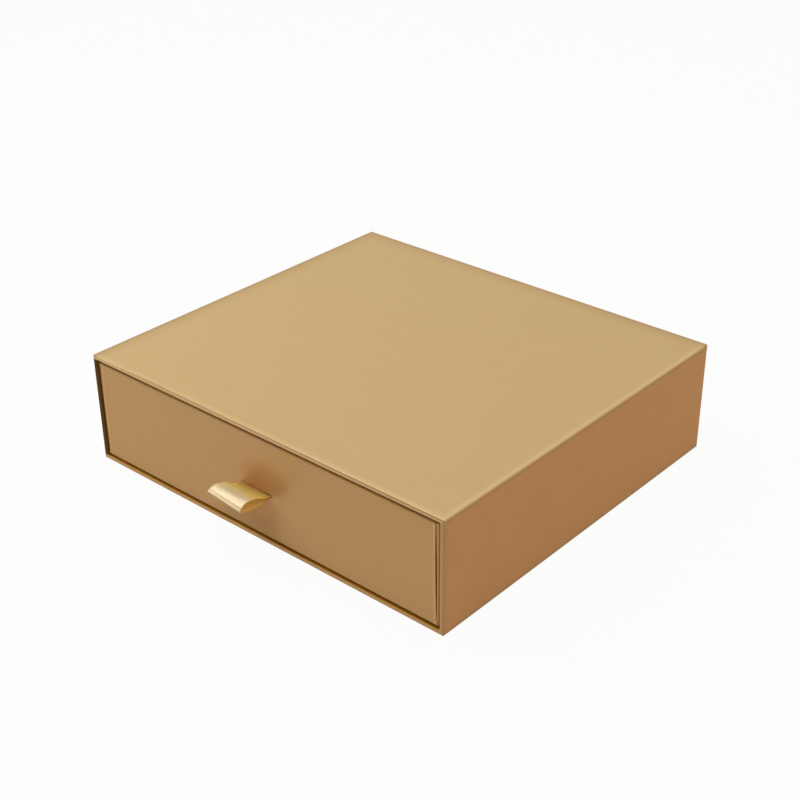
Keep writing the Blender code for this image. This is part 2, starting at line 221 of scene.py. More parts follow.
class FinishTree:
    """The node tree of one material, round its Principled shader."""

    def __init__(self, name: str) -> None:
        """Makes the material with its default nodes."""
        self.material = bpy.data.materials.new(name)
        self.material.use_nodes = True
        self.nodes = self.material.node_tree.nodes
        self.links = self.material.node_tree.links
        self.shader = self.nodes["Principled BSDF"]

    def node(
        self,
        kind: str,
        settings: Mapping[str, object] | None = None,
        inputs: Mapping[str | int, object] | None = None,
    ) -> bpy.types.Node:
        """Adds a node.

        Args:
            kind: The node's type name.
            settings: Properties to set first.
            inputs: Values or links of its sockets, by name or number.

        Returns:
            The new node.
        """
        made = self.nodes.new(kind)
        for name, value in (settings or {}).items():
            setattr(made, name, value)
        for name, value in (inputs or {}).items():
            self.feed(made.inputs[name], value)
        return made

    def feed(self, socket: bpy.types.NodeSocket, value: object) -> None:
        """Links a channel or a socket to a socket, or sets its value.

        Args:
            socket: The input.
            value: What it is given.
        """
        if isinstance(value, Channel):
            self.links.new(value.socket, socket)
        elif isinstance(value, bpy.types.NodeSocket):
            self.links.new(value, socket)
        elif socket.type == "RGBA":
            socket.default_value = (*value, 1.0)
        else:
            socket.default_value = value

    def math(self, operation: str, *operands: "float | Channel") -> Channel:
        """Adds a Math node.

        Args:
            operation: The node's operation.
            operands: Its inputs in order.

        Returns:
            The result.
        """
        made = self.node("ShaderNodeMath", {"operation": operation}, dict(enumerate(operands)))
        return Channel(self, made.outputs[0])

    def position(self) -> tuple[Channel, Channel, Channel]:
        """The Object coordinates as three channels.

        Returns:
            X, Y and Z.
        """
        where = self.node("ShaderNodeTexCoord").outputs["Object"]
        split = self.node("ShaderNodeSeparateXYZ", inputs={"Vector": where})
        return tuple(Channel(self, split.outputs[axis]) for axis in "XYZ")

    def map_place(self, uv: str) -> tuple[Channel, Channel]:
        """The two coordinates of a UV map.

        Args:
            uv: The map's name.

        Returns:
            The places across and along it.
        """
        where = self.node("ShaderNodeUVMap", {"uv_map": uv}).outputs["UV"]
        split = self.node("ShaderNodeSeparateXYZ", inputs={"Vector": where})
        return Channel(self, split.outputs["X"]), Channel(self, split.outputs["Y"])

    def noise(
        self,
        grain: float,
        detail: float = 2.0,
        stretch: tuple[float, float, float] = (1.0, 1.0, 1.0),
        uv: str | None = None,
    ) -> Channel:
        """A noise from 0 to 1 about a half.

        Args:
            grain: The size of its features in metres.
            detail: Its octaves.
            stretch: How much longer the features are along each axis.
            uv: The UV map it lies on, in place of the Object coordinates.

        Returns:
            The noise.
        """
        if uv:
            where = self.node("ShaderNodeUVMap", {"uv_map": uv}).outputs["UV"]
        else:
            where = self.node("ShaderNodeTexCoord").outputs["Object"]
        scale = tuple(1.0 / (grain * share) for share in stretch)
        placed = self.node("ShaderNodeMapping", inputs={"Vector": where, "Scale": scale})
        made = self.node(
            "ShaderNodeTexNoise",
            inputs={"Vector": placed.outputs["Vector"], "Scale": 1.0, "Detail": detail},
        )
        return Channel(self, made.outputs[0])

    def blend(self, share: Channel, first: object, second: object) -> bpy.types.NodeSocket:
        """The mix of two colours.

        Args:
            share: How much of the second.
            first: A colour or a colour socket.
            second: A colour or a colour socket.

        Returns:
            The mixed colour's socket.
        """
        made = self.node("ShaderNodeMix", {"data_type": "RGBA"}, {0: share})
        colours = [socket for socket in made.inputs if socket.type == "RGBA"]
        self.feed(colours[0], first)
        self.feed(colours[1], second)
        return next(socket for socket in made.outputs if socket.type == "RGBA")

    def raise_by(self, height: Channel, depth: float) -> None:
        """Sends a height from 0 to 1 to the shader's normal, as a relief of that depth in metres."""
        bump = self.node("ShaderNodeBump", inputs={"Distance": depth, "Height": height})
        self.feed(self.shader.inputs["Normal"], bump.outputs["Normal"])

    def set_shader(self, **values: object) -> None:
        """Sets or links the shader's sockets; an underscore in a name stands for a space."""
        for name, value in values.items():
            self.feed(self.shader.inputs[name.replace("_", " ")], value)


class LightPaint:
    """A paper's colour by place, as marks of painted light and shade are laid on it."""

    def __init__(self, tree: FinishTree, tone: Channel, colour: bpy.types.NodeSocket) -> None:
        """Starts from the plain paper's tone, from deep to light, and its colour.

        Args:
            tree: The paper's tree.
            tone: Its tone.
            colour: Its colour.
        """
        self.tree = tree
        self.tone = tone
        self.colour = colour
        self.x, self.y, self.z = tree.position()

    def lay(self, share: Channel, colour: object) -> None:
        """Lays a colour on by a share."""
        self.colour = self.tree.blend(share, self.colour, colour)

    def two_tone(self, deep: Colour, light: Colour) -> bpy.types.NodeSocket:
        """Another pair of colours with the paper's tone."""
        return self.tree.blend(self.tone, deep, light)


@dataclass(frozen=True)
class GoldPaperFinish:
    """Pearlescent gold covering paper with a fine grain."""

    light: Colour = (0.565, 0.357, 0.163)
    deep: Colour = (0.540, 0.337, 0.149)
    sheen: Colour = (1.0, 0.72, 0.42)
    metallic: float = 0.20
    gloss: float = 0.1
    roughness: float = 0.38
    roughness_spread: float = 0.08
    grain: float = 0.35 * MM
    grain_depth: float = 0.010 * MM
    grain_share: float = 0.6
    cloud: float = 14.0 * MM
    fleck: float = 1.1 * MM
    fleck_share: float = 0.65

    def material(self, name: str) -> bpy.types.Material:
        """The finish as a material of that name.

        Args:
            name: The material's name.

        Returns:
            The material.
        """
        tree = FinishTree(name)
        cloud = tree.noise(self.cloud, 3.0)
        fleck = tree.noise(self.fleck, 3.0)
        grain = tree.noise(self.grain, 2.0)
        tone = tone_of(cloud, fleck, self.fleck_share)
        paint = LightPaint(tree, tone, tree.blend(tone, self.deep, self.light))
        # Painted light and shade of the sleeve's and the drawer's papers
        self.lay_painted_light(paint)
        tree.set_shader(
            Base_Color=paint.colour,
            Metallic=self.metallic,
            Specular_IOR_Level=self.gloss,
            Specular_Tint=self.sheen,
            Roughness=spread_about(self.roughness, self.roughness_spread, fleck),
        )
        tree.raise_by(grain * self.grain_share + fleck * (1.0 - self.grain_share), self.grain_depth)
        return tree.material

    def lay_painted_light(self, paint: LightPaint) -> None:
        """Lays painted light and shade on; plain paper has none."""


@dataclass(frozen=True, kw_only=True)
class SleevePaperFinish(GoldPaperFinish):
    """The sleeve's paper, with painted light: a lighter top with painted highlights along its near edges and
    folds and painted shade along its far ones, a shaded right side, painted highlights and shade on the rim,
    and painted shade round the mouth.
    """

    low: Vector
    high: Vector
    top_lit_light: Colour = (0.600, 0.444, 0.226)
    top_lit_deep: Colour = (0.580, 0.426, 0.210)
    painted_highlight: Colour = (0.730, 0.560, 0.320)
    far_edge_shade: Colour = (0.440, 0.305, 0.150)
    shaded_side_light: Colour = (0.580, 0.314, 0.126)
    shaded_side_deep: Colour = (0.553, 0.290, 0.110)
    side_painted_shade: Colour = (0.425, 0.260, 0.092)
    recess_shade: Colour = (0.340, 0.160, 0.014)
    left_rim_shade: Colour = (0.060, 0.036, 0.008)
    crease_shade: Colour = (0.340, 0.205, 0.080)
    top_band: Band = (1.4 * MM, 0.8 * MM)
    rim_band: Band = (1.0 * MM, 0.4 * MM)
    right_band: Band = (0.7 * MM, 0.1 * MM)
    top_lit_band: Band = (3.0 * MM, 0.0)
    highlight_band: Band = (5.0 * MM, 0.5 * MM)
    fold_band: Band = (1.6 * MM, 0.6 * MM)
    near_highlight: float = 0.40
    right_highlight: float = 0.20
    fold_highlight: float = 0.60
    far_band: Band = (4.5 * MM, 0.8 * MM)
    far_spread: Band = (14.0 * MM, 1.0 * MM)
    far_shade: float = 0.5
    spread_shade: float = 0.4
    side_head_band: Band = (4.5 * MM, 1.2 * MM)
    side_end_band: Band = (4.5 * MM, 0.0)
    foot_band: Band = (2.8 * MM, 0.9 * MM)
    side_shade: float = 0.6
    foot_shade: float = 0.8
    rim_top_band: Band = (0.7 * MM, 1.1 * MM)
    rim_foot_band: Band = (WALL, WALL - 0.6 * MM)
    rim_end_band: Band = (1.9 * MM, 1.3 * MM)
    head_highlight: float = 0.5
    right_rim_highlight: float = 0.25
    rim_end_shade: float = 0.7
    crease_band: Band = (0.8 * MM, 0.1 * MM)
    crease_limit: Band = (1.8 * MM, 1.5 * MM)
    crease_drift: float = 0.7 * MM
    crease_depth: float = 0.75
    mouth_shade_band: Band = (5.0 * MM, 2.5 * MM)
    mouth_shade_edge: float = 0.3 * MM
    mouth_shade_right: Band = (0.1 * MM, 1.0 * MM)
    mouth_shade_rim: Band = (0.4 * MM, -0.3 * MM)

    def lay_painted_light(self, paint: LightPaint) -> None:
        """Lays the painted light and shade on: the top's, the side's and the rim's, then the painted shade in
        the mouth.

        Args:
            paint: The paper so far.
        """
        self._light_top(paint)
        self._shade_side(paint)
        self._light_rim(paint)
        self._shade_mouth(paint)

    def _on_top(self, paint: LightPaint) -> Channel:
        """One on the top face and its folds."""
        return (self.high.z - paint.z).ramp(*self.top_band)

    def _on_rim(self, paint: LightPaint) -> Channel:
        """One on the mouth's rim."""
        return (paint.y - self.low.y).ramp(*self.rim_band)

    def _light_top(self, paint: LightPaint) -> None:
        """Paints the top lighter and yellower, as lit from above, with painted highlights along its near edges
        and its right fold and painted shade along its far edges.

        Args:
            paint: The paper so far.
        """
        from_right = self.high.x - paint.x
        from_far = (self.high.y - paint.y).least(paint.x - self.low.x)
        near_edge = (paint.y - self.low.y).ramp(*self.highlight_band).most(from_right.ramp(*self.highlight_band))
        to_right = paint.x.ramp(0.7 * self.low.x, 0.85 * self.high.x)
        near_highlight = near_edge * (self.near_highlight + self.right_highlight * to_right)
        fold = from_right.ramp(*self.fold_band) * self.fold_highlight
        shade_share = self.far_shade * from_far.ramp(*self.far_band)
        shade_share = shade_share + self.spread_shade * from_far.ramp(*self.far_spread)
        top_lit_share = (self.high.z - paint.z).ramp(*self.top_lit_band)
        on_top = self._on_top(paint)
        # Painted top light: the top and the upper folds in a lighter, yellower colour
        paint.lay(top_lit_share, paint.two_tone(self.top_lit_deep, self.top_lit_light))
        # Painted highlight along the top's near edges and its right fold
        paint.lay(near_highlight.most(fold) * on_top, self.painted_highlight)
        # Painted shade along the top's far edges
        paint.lay(shade_share * on_top, self.far_edge_shade)

    def _shade_side(self, paint: LightPaint) -> None:
        """Paints the right side warmer and darker, as turned from the light, with more painted shade along its
        head, its near end and its foot.

        Args:
            paint: The paper so far.
        """
        head = (self.high.z - paint.z).ramp(*self.side_head_band)
        edge = head.most((paint.y - self.low.y).ramp(*self.side_end_band))
        foot = (paint.z - self.low.z).ramp(*self.foot_band)
        shade_share = (self.side_shade * edge).most(self.foot_shade * foot)
        side = paint.tree.blend(shade_share, paint.two_tone(self.shaded_side_deep, self.shaded_side_light), self.side_painted_shade)
        on_right = (self.high.x - paint.x).ramp(*self.right_band)
        # Painted shade: the right side in a darker, warmer copy of the paper
        paint.lay(on_right * (1.0 - self._on_top(paint)), side)

    def _light_rim(self, paint: LightPaint) -> None:
        """Paints highlights on the rim's head and right, painted shade on its right end and a painted shade
        line along the fold over it.

        Args:
            paint: The paper so far.
        """
        below_top = self.high.z - paint.z
        behind_rim = paint.y - self.low.y
        from_right = self.high.x - paint.x
        on_rim = self._on_rim(paint)
        head = on_rim * below_top.ramp(*self.rim_top_band) * below_top.ramp(*self.rim_foot_band)
        right = on_rim * from_right.ramp(WALL, 0.5 * WALL)
        end = on_rim * from_right.ramp(*self.rim_end_band)
        middle = paint.x.ramp(0.7 * self.low.x, 0.9 * self.high.x) * self.crease_drift
        line = abs(below_top - behind_rim - middle).ramp(*self.crease_band)
        line = line * (below_top + behind_rim).ramp(*self.crease_limit)
        depth = self.crease_depth * paint.x.ramp(0.93 * self.low.x, 0.57 * self.low.x)
        # Painted highlights on the rim's head and its right part
        paint.lay((self.head_highlight * head).most(self.right_rim_highlight * right), self.painted_highlight)
        # Painted shade on the rim's right end
        paint.lay(end * self.rim_end_shade * (1.0 - self._on_top(paint)), self.side_painted_shade)
        # Painted shade line along the fold from the top over the rim
        paint.lay(line * depth, self.crease_shade)

    def _shade_mouth(self, paint: LightPaint) -> None:
        """Paints shade on the mouth's left rim, and on the first of the turn-in except on the right.

        Args:
            paint: The paper so far.
        """
        half = self.high.z / 2
        past_left = self.low.x + WALL - paint.x
        above = abs(paint.z - half) - (half - WALL)
        left = past_left.ramp(-self.mouth_shade_edge, self.mouth_shade_edge)
        within = past_left.most(above).ramp(self.mouth_shade_edge, 0.0)
        within = within * (paint.y - self.low.y).ramp(*self.mouth_shade_band)
        within = within * (self.high.x - WALL - paint.x).ramp(*self.mouth_shade_right)
        rim = self._on_rim(paint) * above.ramp(*self.mouth_shade_rim)
        # Painted shade on the first of the turn-in inside the mouth
        paint.lay(within, self.recess_shade)
        # Near-black painted shade on the left rim and the left turn-in
        paint.lay(rim.most(within) * left, self.left_rim_shade)


@dataclass(frozen=True, kw_only=True)
class DrawerPaperFinish(GoldPaperFinish):
    """The drawer's paper, with painted shade along the face's foot and head and beside the flap's seams,
    painted highlights on the face's left end, the tray's right side and the flap's edges, and painted
    reflection and shadow round the ribbon.
    """

    low: Vector
    high: Vector
    head_inset: float
    foot_inset: float
    slit: Vector
    recess_shade: Colour = (0.330, 0.155, 0.014)
    seam_shadow: Colour = (0.110, 0.045, 0.004)
    painted_highlight: Colour = (0.850, 0.600, 0.330)
    ribbon_reflection: Colour = (0.400, 0.150, 0.045)
    shaded: Colour = (0.300, 0.180, 0.078)
    ribbon_reflections: tuple[Mark, ...] = (
        Mark(8.0 * MM, 10.0 * MM, 24.0 * MM, 14.0 * MM, 0.28),
        Mark(5.0 * MM, -13.0 * MM, 20.0 * MM, 14.0 * MM, 0.35),
    )
    shade: Mark = Mark(-5.0 * MM, -28.0 * MM, 32.0 * MM, 17.0 * MM, 0.50)
    face_band: Band = (1.0 * MM, 0.5 * MM)
    foot_band: Band = (1.2 * MM, 0.4 * MM)
    head_band: Band = (0.5 * MM, 0.1 * MM)
    left_band: Band = (1.2 * MM, 0.5 * MM)
    right_band: Band = (0.4 * MM, 0.0)
    right_depth: Band = (3.2 * MM, 2.2 * MM)
    edge_inset: float = 1.1 * MM
    edge_band: Band = (0.9 * MM, 0.2 * MM)
    edge_depth: Band = (0.15 * MM, 0.05 * MM)
    seam_band: Band = (0.55 * MM, 0.2 * MM)
    seam_depth: Band = (0.05 * MM, 0.15 * MM)
    slit_rise: float = 1.3 * MM
    slit_left: float = 4.0 * MM
    slit_band: Band = (1.8 * MM, 0.3 * MM)
    slit_reach: Band = (9.0 * MM, 5.0 * MM)
    edge_highlight: float = 0.25
    right_highlight: float = 0.6
    slit_reflection: float = 0.5

    def lay_painted_light(self, paint: LightPaint) -> None:
        """Lays the painted light and shade on: the flap's and the ribbon's, then painted shade at the face's
        foot and head.

        Args:
            paint: The paper so far.
        """
        face = (paint.y - self.low.y).ramp(*self.face_band)
        self._mark_flap(paint, face)
        self._mark_ribbon(paint, face)
        foot = (paint.z - self.low.z).ramp(*self.foot_band)
        # Painted shade along the face's foot and head, by the gaps to the sleeve
        paint.lay(foot.most((self.high.z - paint.z).ramp(*self.head_band)) * face, self.recess_shade)

    def _mark_flap(self, paint: LightPaint, face: Channel) -> None:
        """Paints highlights on the face's left end, the tray's right side by the face and along the flap's cut
        edges, with a painted shadow line beside each cut edge.

        Args:
            paint: The paper so far.
            face: One on the drawer's face.
        """
        behind = paint.y - self.low.y
        height = paint.z.ramp(self.low.z, self.high.z, False)
        inset = self.foot_inset + (self.head_inset - self.foot_inset) * height
        middle = (self.low.x + self.high.x) / 2
        from_seam = (self.high.x - self.low.x) / 2 - abs(paint.x - middle) - inset
        left_end = (paint.x - self.low.x).ramp(*self.left_band) * face
        right_side = (self.high.x - paint.x).ramp(*self.right_band) * behind.ramp(*self.right_depth)
        flap_edge = abs(from_seam - self.edge_inset).ramp(*self.edge_band) * behind.ramp(*self.edge_depth)
        seam = abs(from_seam).ramp(*self.seam_band) * behind.ramp(*self.seam_depth) * face
        # Painted highlights on the face's left end, the tray's right side and the flap's cut edges
        paint.lay(self.edge_highlight * left_end, self.painted_highlight)
        paint.lay(self.right_highlight * right_side, self.painted_highlight)
        paint.lay(self.edge_highlight * flap_edge, self.painted_highlight)
        # Painted shadow line beside the flap's cut edges
        paint.lay(seam, self.seam_shadow)

    def _mark_ribbon(self, paint: LightPaint, face: Channel) -> None:
        """Paints the ribbon's reddish reflection and shade on the face round its slit, and the loop's shadow
        under it.

        Args:
            paint: The paper so far.
            face: One on the drawer's face.
        """
        x = paint.x - self.slit.x
        z = paint.z - self.slit.z
        slit = abs(z - self.slit_rise).ramp(*self.slit_band) * abs(x + self.slit_left).ramp(*self.slit_reach)
        # Painted reddish reflection and shade of the ribbon round the slit
        paint.lay(self.slit_reflection * slit * face, self.ribbon_reflection)
        for mark in self.ribbon_reflections:
            paint.lay(mark.share_at(x, z) * face, self.ribbon_reflection)
        # Painted shadow of the loop on the face below it
        paint.lay(self.shade.share_at(x, z) * face, self.shaded)


@dataclass(frozen=True)
class MattePaperFinish:
    """Uncoated paper or board: fibres, a cloudy tone and no gloss."""

    light: Colour
    deep: Colour
    roughness: float
    fibre: float
    relief: float
    cloud: float = 25.0 * MM
    fibre_share: float = 0.6
    roughness_spread: float = 0.10

    def material(self, name: str) -> bpy.types.Material:
        """The finish as a material of that name.

        Args:
            name: The material's name.

        Returns:
            The material.
        """
        tree = FinishTree(name)
        cloud = tree.noise(self.cloud, 3.0)
        fibres = tree.noise(self.fibre, 4.0, stretch=(3.0, 1.0, 1.0))
        tree.set_shader(
            Base_Color=tree.blend(tone_of(cloud, fibres, self.fibre_share), self.deep, self.light),
            Roughness=spread_about(self.roughness, self.roughness_spread, fibres),
        )
        tree.raise_by(fibres, self.relief)
        return tree.material


@dataclass(frozen=True)
class SatinFinish:
    """Woven satin: long warp threads under a soft sheen, with a painted highlight on the nose, a painted glow
    inside the loop, a painted shade line along the fold, painted shade on the lower layer's cut edge and
    painted shade where it runs into the slit.
    """

    width: float
    light: Colour = (1.00, 0.68, 0.22)
    deep: Colour = (0.96, 0.60, 0.15)
    nose_highlight_light: Colour = (1.00, 0.75, 0.51)
    nose_highlight_deep: Colour = (0.98, 0.69, 0.43)
    under_glow_light: Colour = (1.00, 0.80, 0.58)
    under_glow_deep: Colour = (1.00, 0.74, 0.48)
    cut_edge_shade: Colour = (0.60, 0.30, 0.10)
    crease_shade: Colour = (0.45, 0.28, 0.13)
    recess_shade: Colour = (0.42, 0.16, 0.03)
    metallic: float = 0.22
    roughness: float = 0.42
    roughness_spread: float = 0.10
    gloss: float = 0.5
    glow: float = 0.9
    glow_depth: float = 2.0 * MM
    glow_radius: Colour = (1.0, 0.45, 0.2)
    sheen: float = 0.15
    sheen_roughness: float = 0.4
    sheen_tint: Colour = (1.0, 0.90, 0.72)
    thread: float = 0.12 * MM
    thread_run: float = 60.0
    slub: float = 2.5 * MM
    slub_run: float = 4.0
    relief: float = 0.02 * MM
    under_band: Band = (1.0 * MM, 4.0 * MM)
    cut_edge_band: Band = (0.8 * MM, 0.1 * MM)
    nose_reach: float = 11.0 * MM
    crease_rise: float = 1.7 * MM
    crease_band: Band = (0.8 * MM, 0.1 * MM)
    crease_depth: float = 0.65
    slit_shade_reach: float = 7.0 * MM
    slit_shade_depth: float = 0.6
    left_band: Band = (9.0 * MM, 2.7 * MM)

    def material(self, name: str, uv: str, fold: float, slits: tuple[float, float]) -> bpy.types.Material:
        """The finish as a material on the piece's own UV map, which is in metres.

        Args:
            name: The material's name.
            uv: The UV map, across and along the ribbon.
            fold: How far along the ribbon its fold is.
            slits: How far along the ribbon the slit is, both times.

        Returns:
            The material.
        """
        tree = FinishTree(name)
        threads = tree.noise(self.thread, 2.0, stretch=(1.0, self.thread_run, 1.0), uv=uv)
        slub = tree.noise(self.slub, 2.0, stretch=(1.0, self.slub_run, 1.0), uv=uv)
        tone = tone_of(threads, slub, 0.5)
        across, along = tree.map_place(uv)
        highlight = abs(along - (fold - 0.35 * self.nose_reach)).ramp(self.nose_reach, 0.45 * self.nose_reach)
        under = (along - fold).ramp(*self.under_band)
        colour = tree.blend(tone, self.deep, self.light)
        # Painted glow inside the loop: the lower layer lighter, as lit through the satin
        colour = tree.blend(under, colour, tree.blend(tone, self.under_glow_deep, self.under_glow_light))
        # Painted highlight: the nose in a paler, creamier colour
        colour = tree.blend(highlight, colour, tree.blend(tone, self.nose_highlight_deep, self.nose_highlight_light))
        line = abs(along - (fold - self.crease_rise)).ramp(*self.crease_band)
        # Painted shade line along the nose, parallel to the fold
        colour = tree.blend(self.crease_depth * line, colour, self.crease_shade)
        edge = (self.width - across).ramp(*self.cut_edge_band)
        # Painted shade on the lower layer's cut edge inside the loop
        colour = tree.blend(edge * under, colour, self.cut_edge_shade)
        # Painted shade where the ribbon runs into the slit, deeper at its left
        slit = abs(along - slits[0]).least(abs(along - slits[1]))
        close = slit.ramp(0.5 * self.slit_shade_reach, 0.2 * self.slit_shade_reach) * across.ramp(*self.left_band)
        slit_shade = self.slit_shade_depth * slit.ramp(self.slit_shade_reach, 0.0).most(close)
        tree.set_shader(
            Base_Color=tree.blend(slit_shade, colour, self.recess_shade),
            Metallic=self.metallic * highlight,
            Roughness=spread_about(self.roughness, self.roughness_spread, threads),
            Specular_IOR_Level=self.gloss,
            Subsurface_Weight=self.glow,
            Subsurface_Scale=self.glow_depth,
            Subsurface_Radius=self.glow_radius,
            Sheen_Weight=self.sheen,
            Sheen_Roughness=self.sheen_roughness,
            Sheen_Tint=self.sheen_tint,
        )
        tree.raise_by(threads, self.relief)
        return tree.material


CREAM_LINING = MattePaperFinish((0.84, 0.78, 0.67), (0.78, 0.71, 0.59), 0.78, 0.5 * MM, 0.02 * MM)
GREYBOARD = MattePaperFinish((0.40, 0.38, 0.34), (0.30, 0.28, 0.25), 0.90, 0.6 * MM, 0.05 * MM)
KRAFT_TAPE = MattePaperFinish((0.50, 0.35, 0.20), (0.42, 0.28, 0.15), 0.82, 0.5 * MM, 0.03 * MM)


def apply_modifier(obj: bpy.types.Object, kind: str, **settings: object) -> None:
    """Adds a modifier to the active object, sets it and applies it.

    Args:
        obj: The object.
        kind: The modifier's type.
        settings: Its properties.
    """
    made = obj.modifiers.new(kind.title(), kind)
    for name, value in settings.items():
        setattr(made, name, value)
    bpy.ops.object.modifier_apply(modifier=made.name)


class Workpiece:
    """One mesh on the bench, shaped in edit mode by operators on what its tests select."""

    def __init__(self, obj: bpy.types.Object) -> None:
        """Takes the object that is to be shaped."""
        self.obj = obj

    @staticmethod
    def clear_selection() -> None:
        """Deselects every object."""
        for obj in bpy.context.view_layer.objects:
            obj.select_set(False)

    @classmethod
    def block(cls, name: str, low: Vector, high: Vector) -> "Workpiece":
        """Starts from a block.

        Args:
            name: The piece's name.
            low: Its lowest corner.
            high: Its highest corner.

        Returns:
            The piece, in edit mode.
        """
        cls.clear_selection()
        bpy.ops.mesh.primitive_cube_add(size=1.0, location=(low + high) / 2)
        return cls._placed(name, high - low)

    @classmethod
    def panel(cls, name: str, low: Vector, high: Vector) -> "Workpiece":
        """Starts from an upright panel that faces -Y.

        Args:
            name: The piece's name.
            low: Its lowest corner.
            high: Its highest corner, at the same depth.

        Returns:
            The piece, in edit mode.
        """
        cls.clear_selection()
        bpy.ops.mesh.primitive_plane_add(size=1.0, location=(low + high) / 2, rotation=(math.pi / 2, 0, 0))
        return cls._placed(name, Vector((high.x - low.x, high.z - low.z, 1.0)))

    @classmethod
    def _placed(cls, name: str, size: Vector) -> "Workpiece":
        """Names and sizes the new primitive, puts its place in its mesh and opens it in edit mode.

        Args:
            name: The piece's name.
            size: Its size.

        Returns:
            The piece.
        """
        obj = bpy.context.view_layer.objects.active
        obj.name = name
        obj.data.name = name
        obj.scale = size
        bpy.ops.object.transform_apply(location=True, rotation=True, scale=True)
        bpy.ops.object.mode_set(mode="EDIT")
        return cls(obj)

    def pick(self, part: Part, test: Test) -> int:
        """Selects by place and direction.

        Args:
            part: The kind of element.
            test: Takes an element's middle, and its normal, or an edge's direction.

        Returns:
            How many were selected.
        """
        bpy.ops.mesh.select_mode(type=part.value)
        bpy.ops.mesh.select_all(action="DESELECT")
        bm = bmesh.from_edit_mesh(self.obj.data)
        bm.normal_update()
        if part is Part.VERTS:
            rows = [(vert, vert.co, vert.normal) for vert in bm.verts]
        elif part is Part.EDGES:
            ends = [(edge, edge.verts[0].co, edge.verts[1].co) for edge in bm.edges]
            rows = [(edge, (start + end) / 2, (end - start).normalized()) for edge, start, end in ends]
        else:
            rows = [(face, face.calc_center_median(), face.normal) for face in bm.faces]
        found = 0
        for element, middle, direction in rows:
            if test(middle, direction):
                element.select_set(True)
                found += 1
        bm.select_flush_mode()
        bmesh.update_edit_mesh(self.obj.data)
        return found

    def push(self, x: float = 0.0, y: float = 0.0, z: float = 0.0) -> None:
        """Moves what is selected."""
        bpy.ops.transform.translate(value=(x, y, z))

    def extrude(self, x: float = 0.0, y: float = 0.0, z: float = 0.0) -> None:
        """Draws what is selected out along a vector."""
        bpy.ops.mesh.extrude_region_move(TRANSFORM_OT_translate={"value": (x, y, z)})

    def round_over(self, width: float, steps: int = FOLD_STEPS) -> None:
        """Bevels the selected edges round."""
        bpy.ops.mesh.bevel(offset=width, offset_type="OFFSET", segments=steps, profile=0.5, affect="EDGES")

    def mark_fold(self, width: float, test: Test) -> None:
        """Marks edges that the sheet's folds round to a width.

        Args:
            width: The fold's width, up to the widest.
            test: Takes an edge's middle and direction.
        """
        if self.pick(Part.EDGES, test):
            bpy.ops.transform.edge_bevelweight(value=width / WIDEST_FOLD)

    def round_folds(self) -> None:
        """Rounds the marked edges all at once, and opens the piece again."""
        bpy.ops.object.mode_set(mode="OBJECT")
        apply_modifier(self.obj, "BEVEL", limit_method="WEIGHT", width=WIDEST_FOLD, segments=FOLD_STEPS)
        bpy.ops.object.mode_set(mode="EDIT")

    def cut(self, place: Vector, direction: Vector) -> None:
        """Cuts what is selected by a plane, and keeps both sides."""
        bpy.ops.mesh.bisect(plane_co=place, plane_no=direction)

    def cut_all(self, place: Vector, direction: Vector) -> None:
        """Cuts the whole piece by a plane, and keeps both sides."""
        self.pick(Part.FACES, lambda middle, normal: True)
        self.cut(place, direction)

    def roll(self, centre: Vector, degrees: float) -> None:
        """Spins the selected edge round an axis along X through the centre."""
        bpy.ops.mesh.spin(steps=FOLD_STEPS, angle=math.radians(degrees), center=centre, axis=(1, 0, 0))

    def remove(self, part: Part) -> None:
        """Deletes what is selected."""
        bpy.ops.mesh.delete(type=part.value)

    def close(self) -> bpy.types.Object:
        """Leaves edit mode and gives the sheet the paper's thickness behind it and even shading.

        Returns:
            The finished object.
        """
        bpy.ops.mesh.select_all(action="SELECT")
        bpy.ops.mesh.remove_doubles(threshold=JOINED)
        bpy.ops.object.mode_set(mode="OBJECT")
        apply_modifier(self.obj, "SOLIDIFY", thickness=PAPER_THICK, offset=-1.0, use_even_offset=True)
        bpy.ops.object.shade_smooth()
        apply_modifier(self.obj, "WEIGHTED_NORMAL", weight=100)
        return self.obj


def near(value: float, target: float) -> bool:
    """Whether two lengths are the same, but for rounding."""
    return abs(value - target) < SAME


def seat(obj: bpy.types.Object, body: Body, slot: Slot, finish: bpy.types.Material, *nodes: str) -> None:
    """Dresses a new piece, sets it on its body and lets it stand for its solids.

    Args:
        obj: The piece.
        body: The half that it moves with.
        slot: Its material slot; not used.
        finish: Its material.
        nodes: The solids.
    """
    obj.data.materials.clear()
    obj.data.materials.append(finish)
    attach(obj, body.value)
    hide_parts(*nodes)
    LOG.info("%s: %d faces, on the %s", obj.name, len(obj.data.polygons), body.value)


